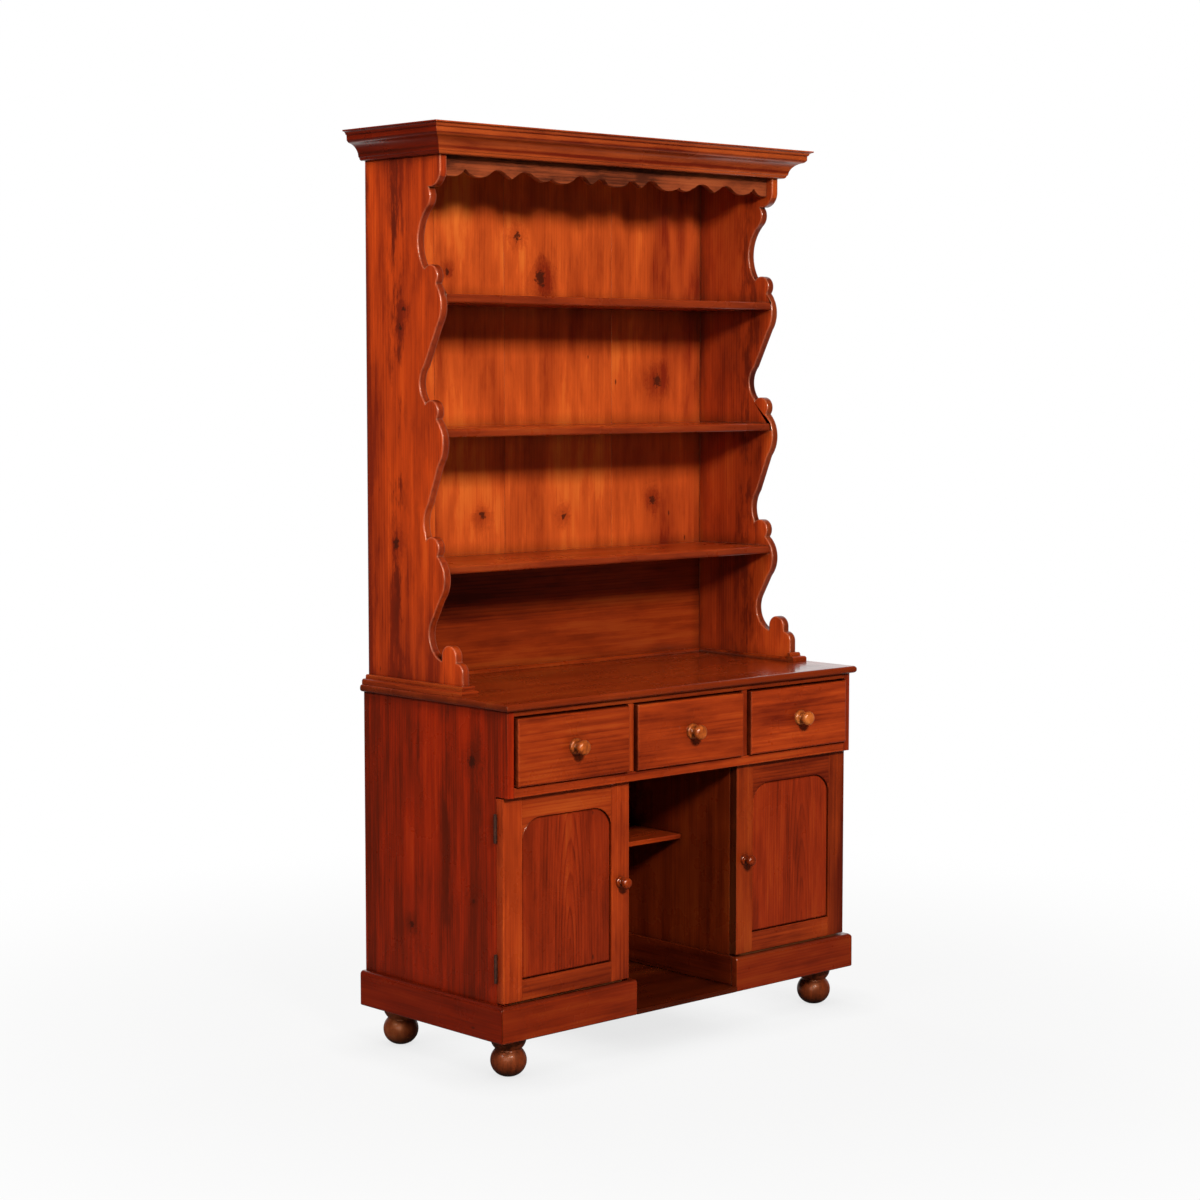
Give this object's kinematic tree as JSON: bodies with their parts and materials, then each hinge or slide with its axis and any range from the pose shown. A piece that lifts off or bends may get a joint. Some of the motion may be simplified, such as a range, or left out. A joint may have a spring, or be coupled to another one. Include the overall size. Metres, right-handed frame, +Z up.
{
  "type": "dresser",
  "caption": "Pine dog-kennel dresser: base with drawers, arched-panel doors and an open kennel on bun feet, under an open plate rack with scalloped sides, valance and cornice.",
  "frame": {"origin": "on the floor, at the middle of the space that the whole piece takes", "axes": "+Z up, -Y is the front that the doors and drawers face, +X is to the viewer's right"},
  "size_m": [1.2218, 0.565, 2.134],
  "materials": {
    "pine": "red-brown stained pine with a wax polish",
    "inner_pine": "bare pine, darkened with age",
    "turned_feet": "dark red-brown stained pine with a wax polish",
    "turned_knobs": "dark red-brown stained pine with a wax polish",
    "hinge_metal": "dark tarnished brass"
  },
  "bodies": {
    "carcass": {"counter_top": "pine", "base_side_left": "pine", "base_side_right": "pine", "kennel_partition_left": "pine", "kennel_partition_right": "pine", "frieze_top_rail": "pine", "frieze_bottom_rail": "pine", "drawer_dividers": "pine", "drawer_runners": "inner_pine", "drawer_kickers": "inner_pine", "drawer_stops": "inner_pine", "base_back_boards": "inner_pine", "cupboard_floors": "inner_pine", "cupboard_shelves": "inner_pine", "cupboard_shelf_cleats": "inner_pine", "kennel_floor": "pine", "kennel_skirts": "pine", "kennel_shelf": "pine", "plinth_fronts": "pine", "plinth_sides": "pine", "foot_blocks": "inner_pine", "bun_feet": "turned_feet", "hinge_fixed_leaves": "hinge_metal", "hinge_pins": "hinge_metal", "hutch_side_left": "pine", "hutch_side_right": "pine", "hutch_shelf_lower": "pine", "hutch_shelf_middle": "pine", "hutch_shelf_upper": "pine", "hutch_top_board": "pine", "hutch_back_planks": "pine", "hutch_back_lower_board": "pine", "hutch_valance": "pine", "cornice_front": "pine", "cornice_returns": "pine", "foot_moulding_sides": "pine", "foot_moulding_fronts": "pine", "counter_bead": "pine"},
    "left_door": {"left_door_stiles": "pine", "left_door_rails": "pine", "left_door_panel": "pine", "left_door_knob": "turned_knobs", "left_door_hinge_leaves": "hinge_metal"},
    "right_door": {"right_door_stiles": "pine", "right_door_rails": "pine", "right_door_panel": "pine", "right_door_knob": "turned_knobs", "right_door_hinge_leaves": "hinge_metal"},
    "left_drawer": {"left_drawer_front": "pine", "left_drawer_box": "inner_pine", "left_drawer_bottom": "inner_pine", "left_drawer_knob": "turned_knobs"},
    "middle_drawer": {"middle_drawer_front": "pine", "middle_drawer_box": "inner_pine", "middle_drawer_bottom": "inner_pine", "middle_drawer_knob": "turned_knobs"},
    "right_drawer": {"right_drawer_front": "pine", "right_drawer_box": "inner_pine", "right_drawer_bottom": "inner_pine", "right_drawer_knob": "turned_knobs"}
  },
  "joints": [
    {"name": "left_door_swing", "type": "hinge", "parent": "carcass", "child": "left_door", "pos_m": [-0.5653, -0.1945, 0.409], "axis": [0, 0, -1], "range_deg": [0, 175]},
    {"name": "right_door_swing", "type": "hinge", "parent": "carcass", "child": "right_door", "pos_m": [0.5653, -0.1945, 0.409], "axis": [0, 0, 1], "range_deg": [0, 175]},
    {"name": "left_drawer_slide", "type": "slide", "parent": "carcass", "child": "left_drawer", "axis": [0, -1, 0], "range_m": [0, 0.32]},
    {"name": "middle_drawer_slide", "type": "slide", "parent": "carcass", "child": "middle_drawer", "axis": [0, -1, 0], "range_m": [0, 0.32]},
    {"name": "right_drawer_slide", "type": "slide", "parent": "carcass", "child": "right_drawer", "axis": [0, -1, 0], "range_m": [0, 0.32]}
  ]
}
